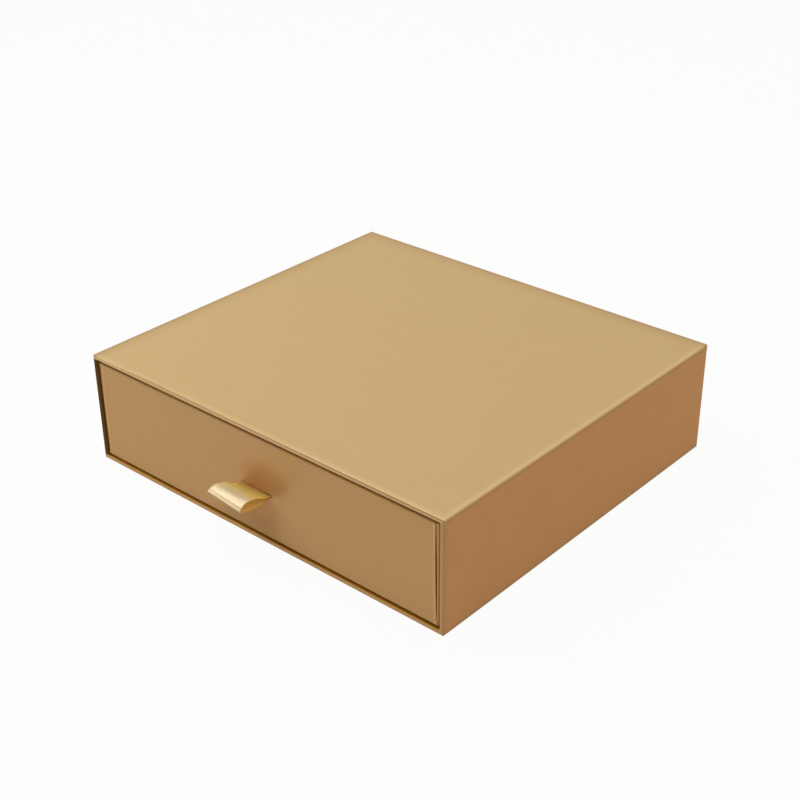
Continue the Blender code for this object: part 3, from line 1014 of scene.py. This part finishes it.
@dataclass
class SleeveCover:
    """The sleeve's outer sheet: four sides, the rim of the mouth with its turn-in, and the rear flaps."""

    turn_in: float = 18.0 * MM
    rear_flap: float = 15.0 * MM
    lap: float = 14.0 * MM
    lap_ease: float = 3.0 * MM
    lap_riser: float = 0.1 * MM
    side_fold: float = 0.8 * MM
    rim_fold: float = 0.8 * MM
    back_fold: float = 0.9 * MM
    inner_fold: float = 0.45 * MM
    inner_rim_fold: float = 0.5 * MM

    def build(self, finish: bpy.types.Material) -> None:
        """Models and dresses the cover.

        Args:
            finish: Its paper.
        """
        low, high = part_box("sleeve_wrap_paper")
        piece = Workpiece.block("sleeve_cover", low, high)
        self._open_mouth(piece, low)
        self._open_back(piece, high)
        self._fold(piece, low, high)
        self._lap_underside(piece, low, high)
        seat(piece.close(), Body.SLEEVE, Slot.GOLD_PAPER, finish, "sleeve_wrap_paper")

    def _open_mouth(self, piece: Workpiece, low: Vector) -> None:
        """Turns the front face into the rim and the turn-in.

        Args:
            piece: The sheet.
            low: Its lowest corner.
        """
        piece.pick(Part.FACES, lambda middle, normal: near(middle.y, low.y))
        bpy.ops.mesh.inset(thickness=WALL, depth=0.0)
        piece.extrude(y=self.turn_in)
        piece.remove(Part.FACES)

    def _open_back(self, piece: Workpiece, high: Vector) -> None:
        """Turns the back face into the four rear flaps.

        Args:
            piece: The sheet.
            high: Its highest corner.
        """
        piece.pick(Part.FACES, lambda middle, normal: near(middle.y, high.y))
        bpy.ops.mesh.inset(thickness=self.rear_flap, depth=0.0)
        piece.remove(Part.FACES)

    def _fold(self, piece: Workpiece, low: Vector, high: Vector) -> None:
        """Rounds the sheet's folds: the long edges, both ends and the rim's inner edge.

        Args:
            piece: The sheet.
            low: Its lowest corner.
            high: Its highest corner.
        """

        def outside(middle: Vector) -> bool:
            """Whether it is on the sheet's outer sides."""
            return near(abs(middle.x), high.x) or near(middle.z, low.z) or near(middle.z, high.z)

        def along(direction: Vector) -> bool:
            """Whether an edge runs along an axis."""
            return max(abs(share) for share in direction) > 0.99

        piece.mark_fold(
            self.side_fold,
            lambda middle, direction: abs(direction.y) > 0.99 and near(abs(middle.x), high.x),
        )
        piece.mark_fold(self.rim_fold, lambda middle, direction: near(middle.y, low.y) and outside(middle))
        piece.mark_fold(self.back_fold, lambda middle, direction: near(middle.y, high.y) and outside(middle))
        piece.mark_fold(
            self.inner_rim_fold,
            lambda middle, direction: near(middle.y, low.y) and not outside(middle) and along(direction),
        )
        piece.mark_fold(
            self.inner_fold,
            lambda middle, direction: abs(direction.y) > 0.99
            and not outside(middle)
            and middle.y < low.y + self.turn_in,
        )
        piece.round_folds()

    def _lap_underside(self, piece: Workpiece, low: Vector, high: Vector) -> None:
        """Lays the sheet's end over its start on the underside.

        Args:
            piece: The sheet.
            low: Its lowest corner.
            high: Its highest corner.
        """
        step = low.x + self.lap
        ease = self.lap_ease
        riser = self.lap_riser
        cuts = [(0, step), (0, step + riser), (0, high.x - ease), (1, low.y + ease), (1, high.y - ease)]
        for axis, place in cuts:
            across = Vector((1 - axis, axis, 0))
            piece.pick(Part.FACES, lambda middle, normal: near(middle.z, low.z))
            piece.cut(across * place, across)
        piece.pick(
            Part.VERTS,
            lambda middle, normal: near(middle.z, low.z)
            and step + riser / 2 < middle.x < high.x - ease + riser / 2
            and low.y + ease - riser / 2 < middle.y < high.y - ease + riser / 2,
        )
        piece.push(z=PAPER_THICK)


@dataclass
class SleeveBackSheet:
    """The sheet glued over the rear flaps, with its edges pressed down on them."""

    edge_round: float = 0.18 * MM
    corner_round: float = 0.8 * MM

    def build(self, finish: bpy.types.Material) -> None:
        """Models and dresses the sheet.

        Args:
            finish: Its paper.
        """
        low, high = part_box("sleeve_back_paper")
        low.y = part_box("sleeve_wrap_paper")[1].y
        piece = Workpiece.block("sleeve_back_sheet", low, high)
        piece.pick(Part.EDGES, lambda middle, direction: abs(direction.y) > 0.99)
        piece.round_over(self.corner_round)
        piece.pick(Part.EDGES, lambda middle, direction: near(middle.y, high.y))
        piece.round_over(self.edge_round, 3)
        bpy.ops.object.mode_set(mode="OBJECT")
        bpy.ops.object.shade_smooth()
        apply_modifier(piece.obj, "WEIGHTED_NORMAL")
        seat(piece.obj, Body.SLEEVE, Slot.GOLD_PAPER, finish, "sleeve_back_paper")


@dataclass
class DrawerCover:
    """The drawer's outer sheet: the tray's cover with its ears, and the flaps that are glued over them."""

    turn_in: float = 15.0 * MM
    corner_fold: float = 0.6 * MM
    base_fold: float = 0.8 * MM
    rim_fold: float = 0.6 * MM
    inner_fold: float = 0.45 * MM
    flap_fold: float = 0.9 * MM
    flap_head_inset: float = 2.0 * MM
    flap_inset: float = 1.3 * MM
    flap_foot_inset: float = 0.5 * MM
    flap_flare: float = 5.0 * MM
    flap_turn_in: float = 13.0 * MM
    flap_draw_in: float = 0.6 * MM
    flap_lift: float = 0.45 * MM
    lift_reach: float = 6.0 * MM
    lift_shares: tuple[float, ...] = (0.0, 0.15, 0.4, 0.7)
    least_lift: float = 0.005 * MM
    flap_rows: int = 8
    slit_low: float = -0.6 * MM
    slit_high: float = 1.45 * MM
    slit_pinch: float = 0.95 * MM
    slit_clearance: float = 0.3 * MM
    ribbon_width: float = 25.0 * MM

    def build(self, finish: bpy.types.Material, slit_z: float) -> None:
        """Models and dresses the cover.

        Args:
            finish: Its paper.
            slit_z: The height of the ribbon's slit.
        """
        low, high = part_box("drawer_wrap_paper")
        low.y += PAPER_THICK
        tray = self._tray(low, high, slit_z)
        front = self._flap(low, high, slit_z)
        tray.select_set(True)
        front.select_set(True)
        bpy.context.view_layer.objects.active = tray
        bpy.ops.object.join()
        seat(tray, Body.DRAWER, Slot.GOLD_PAPER, finish, "drawer_wrap_paper")

    def _tray(self, low: Vector, high: Vector, slit_z: float) -> bpy.types.Object:
        """The tray's cover with its rim and turn-in, slit for the ribbon.

        Args:
            low: Its lowest corner.
            high: Its highest corner.
            slit_z: The slit's height.

        Returns:
            The cover.
        """
        piece = Workpiece.block("drawer_cover", low, high)
        piece.pick(Part.FACES, lambda middle, normal: near(middle.z, high.z))
        bpy.ops.mesh.inset(thickness=WALL, depth=0.0)
        piece.extrude(z=-self.turn_in)
        piece.remove(Part.FACES)

        def outside(middle: Vector) -> bool:
            """Whether it is on the sheet's outer sides."""
            return any(near(middle[axis], corner[axis]) for axis in (0, 1) for corner in (low, high))

        def upright(direction: Vector) -> bool:
            """Whether an edge is upright."""
            return abs(direction.z) > 0.99

        piece.mark_fold(self.corner_fold, lambda middle, direction: upright(direction) and outside(middle))
        piece.mark_fold(self.base_fold, lambda middle, direction: near(middle.z, low.z))
        piece.mark_fold(self.rim_fold, lambda middle, direction: near(middle.z, high.z) and outside(middle))
        piece.mark_fold(
            self.inner_fold,
            lambda middle, direction: near(middle.z, high.z)
            and not outside(middle)
            and max(abs(direction.x), abs(direction.y)) > 0.99,
        )
        piece.mark_fold(self.inner_fold, lambda middle, direction: upright(direction) and not outside(middle))
        piece.round_folds()
        self._slit(piece, low.y, (low.x + high.x) / 2, slit_z)
        return piece.close()

    def _slit(self, piece: Workpiece, front: float, middle_x: float, slit_z: float) -> None:
        """Cuts the ribbon's slit through the sheet at that depth, its left end pinched on the ribbon.

        Args:
            piece: The sheet.
            front: The depth of its face.
            middle_x: The slit's middle.
            slit_z: The slit's height.
        """
        half_width = self.ribbon_width / 2 + self.slit_clearance
        half_height = (self.slit_high - self.slit_low) / 2
        centre = slit_z + (self.slit_high + self.slit_low) / 2

        def on_front(middle: Vector, normal: Vector) -> bool:
            """Whether a face is on the sheet's front."""
            return near(middle.y, front) and normal.y < -0.99

        for side in (-1, 1):
            piece.pick(Part.FACES, on_front)
            piece.cut(Vector((middle_x + side * half_width, 0, 0)), Vector((1, 0, 0)))
            piece.pick(Part.FACES, on_front)
            piece.cut(Vector((0, 0, centre + side * half_height)), Vector((0, 0, 1)))
        piece.pick(
            Part.FACES,
            lambda middle, normal: on_front(middle, normal)
            and abs(middle.x - middle_x) < half_width
            and abs(middle.z - centre) < half_height,
        )
        piece.remove(Part.FACES)
        piece.pick(
            Part.VERTS,
            lambda middle, normal: near(middle.y, front)
            and near(middle.x, middle_x - half_width)
            and near(middle.z, centre + half_height),
        )
        piece.push(z=-self.slit_pinch)

    def _flap(self, low: Vector, high: Vector, slit_z: float) -> bpy.types.Object:
        """The front flap: up over the ears, over the rim and down inside.

        Args:
            low: The tray cover's lowest corner.
            high: Its highest corner.
            slit_z: The slit's height.

        Returns:
            The flap.
        """
        face = low.y - PAPER_THICK
        foot = low.z + self.flap_fold
        head = high.z + PAPER_THICK - self.rim_fold
        left = low.x + self.flap_head_inset
        right = high.x - self.flap_head_inset
        piece = Workpiece.panel("drawer_front_flap", Vector((left, face, foot)), Vector((right, face, head)))
        for side_x, outward in ((left, -1), (right, 1)):
            for share in (*self.lift_shares[1:], 1.0):
                piece.cut_all(Vector((side_x - outward * self.lift_reach * share, 0, 0)), Vector((1, 0, 0)))
        flare = foot + self.flap_flare
        rows = [flare + (head - flare) * step / self.flap_rows for step in range(self.flap_rows)]
        for row in rows:
            piece.cut_all(Vector((0, 0, row)), Vector((0, 0, 1)))
        self._lift_sides(piece, left, right, rows)
        self._flare_sides(piece, left, right, [foot, *rows])
        self._slit(piece, face, (low.x + high.x) / 2, slit_z)
        piece.pick(Part.EDGES, lambda middle, direction: near(middle.z, foot))
        piece.roll(Vector((0, face + self.flap_fold, foot)), 80.0)
        piece.pick(Part.EDGES, lambda middle, direction: near(middle.z, head))
        piece.roll(Vector((0, face + self.rim_fold, head)), -90.0)
        inner = low.y + WALL + PAPER_THICK
        piece.extrude(y=inner - self.inner_fold - face - self.rim_fold)
        top = high.z + PAPER_THICK
        piece.roll(Vector((0, inner - self.inner_fold, top - self.inner_fold)), -90.0)
        for side_x, outward in ((left, -1), (right, 1)):
            piece.pick(
                Part.VERTS,
                lambda middle, normal: middle.y > inner - self.inner_fold - SAME and near(middle.x, side_x),
            )
            piece.push(x=-outward * self.flap_draw_in)
        piece.pick(
            Part.EDGES,
            lambda middle, direction: near(middle.z, top - self.inner_fold) and near(middle.y, inner),
        )
        piece.extrude(z=-self.flap_turn_in)
        return piece.close()

    def _flare_sides(self, piece: Workpiece, left: float, right: float, rows: Sequence[float]) -> None:
        """Slants the cut edges outward towards the foot, and lets them run out to the corners there.

        Args:
            piece: The flap.
            left: Its left cut edge.
            right: Its right cut edge.
            rows: The heights of its rows, from its foot.
        """
        for place, row in enumerate(rows):
            inset = self.flap_foot_inset
            if place:
                share = (place - 1) / (len(rows) - 1)
                inset = self.flap_inset + (self.flap_head_inset - self.flap_inset) * share
            for side_x, outward in ((left, -1), (right, 1)):
                piece.pick(Part.VERTS, lambda middle, normal: near(middle.z, row) and near(middle.x, side_x))
                piece.push(x=outward * (self.flap_head_inset - inset))

    def _lift_sides(self, piece: Workpiece, left: float, right: float, rows: Sequence[float]) -> None:
        """Lifts the flap's cut edges a little off the ears, most at half height.

        Args:
            piece: The flap.
            left: Its left cut edge.
            right: Its right cut edge.
            rows: The heights of its rows, from the flare.
        """
        for side_x in (left, right):
            for place, row in enumerate(rows):
                height_share = math.sin(math.pi * place / len(rows))
                for share in self.lift_shares:
                    lift = self.flap_lift * height_share * (1.0 - share) ** 2
                    if lift < self.least_lift:
                        continue
                    reach = self.lift_reach * share
                    piece.pick(
                        Part.VERTS,
                        lambda middle, normal: near(middle.z, row) and near(abs(middle.x - side_x), reach),
                    )
                    piece.push(y=-lift)


@dataclass
class DrawerLining:
    """The tray's inner lining, its upper edge pressed on the turn-in."""

    foot_fold: float = 1.0 * MM
    corner_fold: float = 0.6 * MM
    edge_press: float = 0.33 * MM
    edge_depth: float = 2.0 * MM

    def build(self, finish: bpy.types.Material) -> None:
        """Models and dresses the lining.

        Args:
            finish: Its paper.
        """
        low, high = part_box("drawer_lining_paper")
        piece = Workpiece.block("drawer_lining", low, high)
        piece.pick(Part.FACES, lambda middle, normal: near(middle.z, high.z))
        piece.remove(Part.FACES)
        piece.cut_all(Vector((0, 0, high.z - self.edge_depth)), Vector((0, 0, 1)))
        piece.mark_fold(self.corner_fold, lambda middle, direction: abs(direction.z) > 0.99)
        piece.mark_fold(self.foot_fold, lambda middle, direction: near(middle.z, low.z))
        piece.round_folds()
        for axis, sign, place in ((0, -1, low.x), (0, 1, high.x), (1, -1, low.y), (1, 1, high.y)):
            piece.pick(
                Part.VERTS,
                lambda middle, normal: near(middle.z, high.z)
                and abs(middle[axis] - place) < self.corner_fold + JOINED,
            )
            shift = [0.0, 0.0]
            shift[axis] = sign * self.edge_press
            piece.push(x=shift[0], y=shift[1])
        seat(piece.close(), Body.DRAWER, Slot.LINING_PAPER, finish, "drawer_lining_paper")


@dataclass
class RibbonPull:
    """The satin ribbon: a loop through the slit, with two tails behind the front board."""

    width: float = 25.0 * MM
    thick: float = 0.3 * MM
    layer_gap: float = 0.3 * MM
    reach: float = 24.5 * MM
    rise: float = 6.5 * MM
    skew: float = 0.03
    twist: float = 3.8 * MM
    lift: float = 0.75 * MM
    droop: float = 0.6 * MM
    droop_reach: float = 0.09
    bend: float = GLUE_LINE + 0.15 * MM
    columns: int = 24
    steps: int = 10
    loop_shares: tuple[tuple[float, float], ...] = (
        *((0.21, 0.25), (0.43, 0.68), (0.63, 0.89), (0.78, 0.95), (0.91, 0.80), (1.00, 0.52)),
        *((0.93, 0.28), (0.74, 0.00), (0.48, -0.24), (0.33, -0.26), (0.17, -0.10)),
    )

    def slit_height(self) -> float:
        """The height of the slit, midway between the ribbon's two ends."""
        low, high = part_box("ribbon_pull")
        return (low.z + high.z) / 2

    def _path(self, slit_z: float) -> list[Vector]:
        """The ribbon's middle line as (y, z): upper tail, slit, loop, slit, lower tail.

        Args:
            slit_z: The slit's height.

        Returns:
            Its points.
        """
        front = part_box("drawer_wrap_paper")[0].y
        board_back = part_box("drawer_front_board")[1].y
        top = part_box("ribbon_pull")[1].z
        layer = (self.layer_gap + self.thick) / 2
        upper = [Vector((board_back + self.bend, top))]
        for step in range(7):
            angle = math.pi / 2 * step / 6
            y = board_back + self.bend * math.cos(angle)
            upper.append(Vector((y, slit_z + layer + self.bend * (1 - math.sin(angle)))))
        lower = [Vector((point.x, slit_z + slit_z - point.y)) for point in reversed(upper)]
        knots = [Vector((front, slit_z + layer))]
        knots += [Vector((front - self.reach * out, slit_z + self.rise * up)) for out, up in self.loop_shares]
        knots.append(Vector((front, slit_z - layer)))
        return upper + self._smooth(knots) + lower

    def _smooth(self, points: Sequence[Vector]) -> list[Vector]:
        """A smooth curve through the points.

        Args:
            points: The points.

        Returns:
            The curve's own points.
        """
        padded = [points[0] * 2 - points[1], *points, points[-1] * 2 - points[-2]]
        curve = []
        for before, start, end, after in zip(padded, padded[1:], padded[2:], padded[3:]):
            for step in range(self.steps):
                t = step / self.steps
                curve.append(
                    0.5
                    * (
                        2 * start
                        + (end - before) * t
                        + (2 * before - 5 * start + 4 * end - after) * t**2
                        + (3 * start - before - 3 * end + after) * t**3
                    )
                )
        return curve + [points[-1]]

    def build(self, finish: SatinFinish, slit_z: float) -> None:
        """Models and dresses the ribbon.

        Args:
            finish: Its satin.
            slit_z: The height of the slit.
        """
        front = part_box("drawer_wrap_paper")[0].y
        path = self._path(slit_z)
        runs = [0.0]
        for near_point, far_point in zip(path, path[1:]):
            runs.append(runs[-1] + (far_point - near_point).length)
        ribbon = self._cut_strip(len(path) - 1)
        self._fold_strip(ribbon.data, path, runs, front)
        apply_modifier(ribbon, "SOLIDIFY", thickness=self.thick, offset=0.0)
        bpy.ops.object.shade_smooth()
        reach = [front - point.x for point in path]
        fold = runs[reach.index(max(reach))]
        outside = [run for run, out in zip(runs, reach) if out > 0]
        satin = finish.material("satin_gold_ribbon", "weave", fold, (outside[0], outside[-1]))
        seat(ribbon, Body.DRAWER, Slot.SATIN_RIBBON, satin, "ribbon_pull")
        LOG.info("ribbon cut length %.1f mm", runs[-1] / MM)

    @staticmethod
    def _grid_order(mesh: bpy.types.Mesh) -> list[int]:
        """The flat strip's vertices row by row, each from left to right."""
        places = [(round(vertex.co.y, 5), vertex.co.x, vertex.index) for vertex in mesh.vertices]
        return [index for _, _, index in sorted(places)]

    def _cut_strip(self, rows: int) -> bpy.types.Object:
        """A flat strip of ribbon as a grid of that many rows.

        Args:
            rows: How many.

        Returns:
            The strip.
        """
        Workpiece.clear_selection()
        bpy.ops.mesh.primitive_grid_add(
            x_subdivisions=self.columns, y_subdivisions=rows, size=1.0, location=(0, 0, 0)
        )
        strip = bpy.context.view_layer.objects.active
        strip.name = strip.data.name = "ribbon_loop"
        return strip

    def _fold_strip(
        self, mesh: bpy.types.Mesh, path: Sequence[Vector], runs: Sequence[float], front: float
    ) -> None:
        """Folds the flat strip along its path and keeps its flat places as its UV map.

        Args:
            mesh: The strip's mesh.
            path: Its middle line as (y, z).
            runs: How far along the ribbon each point of the path is.
            front: The depth of the drawer's face.
        """
        low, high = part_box("ribbon_pull")
        middle = (low.x + high.x) / 2
        flat = {}
        for place, index in enumerate(self._grid_order(mesh)):
            row, column = divmod(place, self.columns + 1)
            across = column / self.columns - 0.5
            out = max(front - path[row].x, 0.0) / self.reach
            near_slit = out / self.droop_reach * math.exp(1 - out / self.droop_reach)
            lift = (self.lift - across * self.twist) * out**2 - (0.5 - across) ** 2 * self.droop * near_slit
            depth = path[row].x + out * self.reach * self.skew * across
            mesh.vertices[index].co = (middle + self.width * across, depth, path[row].y + lift)
            flat[index] = (self.width * (across + 0.5), runs[row])
        while mesh.uv_layers:
            mesh.uv_layers.remove(mesh.uv_layers[0])
        weave = mesh.uv_layers.new(name="weave")
        for loop in mesh.loops:
            weave.data[loop.index].uv = flat[loop.vertex_index]


@dataclass(frozen=True)
class Lamp:
    """One soft rectangular studio lamp."""

    name: str
    azimuth: float
    elevation: float
    distance: float
    size: float
    power: float
    colour: Colour = (1.0, 1.0, 1.0)

    def build(self, aim: Vector) -> None:
        """Hangs the lamp.

        Args:
            aim: The point that it is turned to.
        """
        data = bpy.data.lights.new(self.name, "AREA")
        data.shape = "SQUARE"
        data.size = self.size
        data.energy = self.power
        data.color = self.colour
        obj = bpy.data.objects.new(self.name, data)
        turn = math.radians(self.azimuth)
        lift = math.radians(self.elevation)
        away = Vector((math.sin(turn) * math.cos(lift), -math.cos(turn) * math.cos(lift), math.sin(lift)))
        obj.location = aim + away * self.distance
        obj.rotation_euler = (-away).to_track_quat("-Z", "Y").to_euler()
        bpy.context.scene.collection.objects.link(obj)


@dataclass
class Studio:
    """Camera, lamps, surroundings and floor."""

    camera_place: tuple[float, float, float] = (0.52401, -0.59570, 0.48226)
    camera_turn: tuple[float, float, float] = (60.7429, 0.4730, 41.1569)
    lens: float = 65.215
    floor_size: float = 8.0
    floor_tone: float = 0.80
    shadow_share: float = 0.05
    sky_tone: Colour = (0.43, 0.36, 0.27)
    lamps: tuple[Lamp, ...] = (
        Lamp("overhead_lamp", 325.0, 76.0, 1.3, 1.0, 3.3),
        Lamp("back_lamp", 180.0, 60.0, 1.6, 1.2, 2.0),
        Lamp("left_lamp", 270.0, 60.0, 1.6, 1.2, 4.0),
        Lamp("key_lamp", 312.0, 38.0, 0.7, 0.4, 0.80),
        Lamp("right_lamp", 90.0, 45.0, 1.6, 1.2, 1.9, (1.0, 0.5, 0.2)),
    )

    def build(self) -> None:
        """Sets everything up."""
        self._camera()
        self._surroundings()
        self._floor()
        aim = Vector((0.0, 0.0, 0.03))
        for lamp in self.lamps:
            lamp.build(aim)
        bpy.context.scene.view_settings.view_transform = "Standard"
        LOG.info("studio: %d lamps", len(self.lamps))

    def _camera(self) -> None:
        """The camera at the photograph's angle."""
        data = bpy.data.cameras.new("camera")
        data.sensor_width = 36.0
        data.lens = self.lens
        data.clip_start = 0.01
        data.clip_end = 50.0
        obj = bpy.data.objects.new("camera", data)
        obj.location = self.camera_place
        obj.rotation_euler = [math.radians(angle) for angle in self.camera_turn]
        bpy.context.scene.collection.objects.link(obj)
        bpy.context.scene.camera = obj

    def _surroundings(self) -> None:
        """An even sky: white to the camera and in reflections, softer as light."""
        world = bpy.data.worlds.new("surroundings")
        world.use_nodes = True
        bpy.context.scene.world = world
        nodes = world.node_tree.nodes
        links = world.node_tree.links
        sky = nodes["Background"]
        sky.inputs["Color"].default_value = (*self.sky_tone, 1.0)
        white = nodes.new("ShaderNodeBackground")
        white.inputs["Color"].default_value = (1.0, 1.0, 1.0, 1.0)
        path = nodes.new("ShaderNodeLightPath")
        mix = nodes.new("ShaderNodeMixShader")
        links.new(self._seen(nodes, links, path), mix.inputs[0])
        links.new(sky.outputs[0], mix.inputs[1])
        links.new(white.outputs[0], mix.inputs[2])
        links.new(mix.outputs[0], nodes["World Output"].inputs["Surface"])

    @staticmethod
    def _seen(
        nodes: bpy.types.Nodes, links: bpy.types.NodeLinks, path: bpy.types.Node
    ) -> bpy.types.NodeSocket:
        """One where a ray comes from the camera, a reflection or a pane, else zero.

        Args:
            nodes: The tree's nodes.
            links: Its links.
            path: Its Light Path node.

        Returns:
            The socket.
        """
        total = path.outputs["Is Camera Ray"]
        for name in ("Is Glossy Ray", "Is Transmission Ray"):
            most = nodes.new("ShaderNodeMath")
            most.operation = "MAXIMUM"
            links.new(total, most.inputs[0])
            links.new(path.outputs[name], most.inputs[1])
            total = most.outputs[0]
        return total

    def _floor(self) -> None:
        """A white floor that keeps a faint shadow."""
        Workpiece.block(
            "floor",
            Vector((-self.floor_size / 2, -self.floor_size / 2, -0.01)),
            Vector((self.floor_size / 2, self.floor_size / 2, -0.00005)),
        )
        bpy.ops.object.mode_set(mode="OBJECT")
        floor = bpy.context.view_layer.objects.active
        tree = FinishTree("floor")
        tree.set_shader(Base_Color=(self.floor_tone,) * 3, Roughness=0.9)
        path = tree.node("ShaderNodeLightPath")
        seen = self._seen(tree.nodes, tree.links, path)
        glow = tree.node("ShaderNodeEmission", inputs={"Color": (1.0, 1.0, 1.0), "Strength": 1.0})
        share = tree.math("MULTIPLY", Channel(tree, seen), 1.0 - self.shadow_share)
        mix = tree.node("ShaderNodeMixShader", inputs={0: share})
        tree.links.new(tree.shader.outputs[0], mix.inputs[1])
        tree.links.new(glow.outputs[0], mix.inputs[2])
        tree.links.new(mix.outputs[0], tree.nodes["Material Output"].inputs["Surface"])
        floor.data.materials.append(tree.material)


@dataclass
class HiddenStock:
    """The solids that stay: boards, tapes and the sleeve's lining, each with its own finish."""

    finishes: tuple[tuple[str, Slot, MattePaperFinish], ...] = (
        ("_board", Slot.GREYBOARD, GREYBOARD),
        ("_stay_", Slot.KRAFT_TAPE, KRAFT_TAPE),
        ("sleeve_lining_paper", Slot.LINING_PAPER, CREAM_LINING),
    )

    def dress(self) -> None:
        """Gives each solid its finish."""
        for mark, slot, finish in self.finishes:
            material = finish.material(f"{slot.value}_stock")
            for name, obj in frame["nodes"].items():
                if mark in name and not obj.hide_render:
                    obj.data.materials.clear()
                    obj.data.materials.append(material)
            LOG.info("%s dressed", slot.value)


def main() -> None:
    """Builds and dresses the box, piece by piece."""
    logging.basicConfig(level=logging.INFO, format="%(name)s: %(message)s")
    Studio().build()
    ribbon = RibbonPull()
    slit_z = ribbon.slit_height()
    cover = DrawerCover()
    sleeve_low, sleeve_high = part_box("sleeve_wrap_paper")
    drawer_low, drawer_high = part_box("drawer_wrap_paper")
    drawer_paper = DrawerPaperFinish(
        low=drawer_low,
        high=drawer_high,
        head_inset=cover.flap_head_inset,
        foot_inset=cover.flap_inset,
        slit=Vector(((drawer_low.x + drawer_high.x) / 2, drawer_low.y, slit_z)),
    )
    SleeveCover().build(SleevePaperFinish(low=sleeve_low, high=sleeve_high).material("sleeve_gold_paper"))
    SleeveBackSheet().build(GoldPaperFinish().material("back_gold_paper"))
    cover.build(drawer_paper.material("drawer_gold_paper"), slit_z)
    DrawerLining().build(CREAM_LINING.material("drawer_lining_cream"))
    ribbon.build(SatinFinish(ribbon.width), slit_z)
    HiddenStock().dress()


if __name__ == "__main__":
    main()
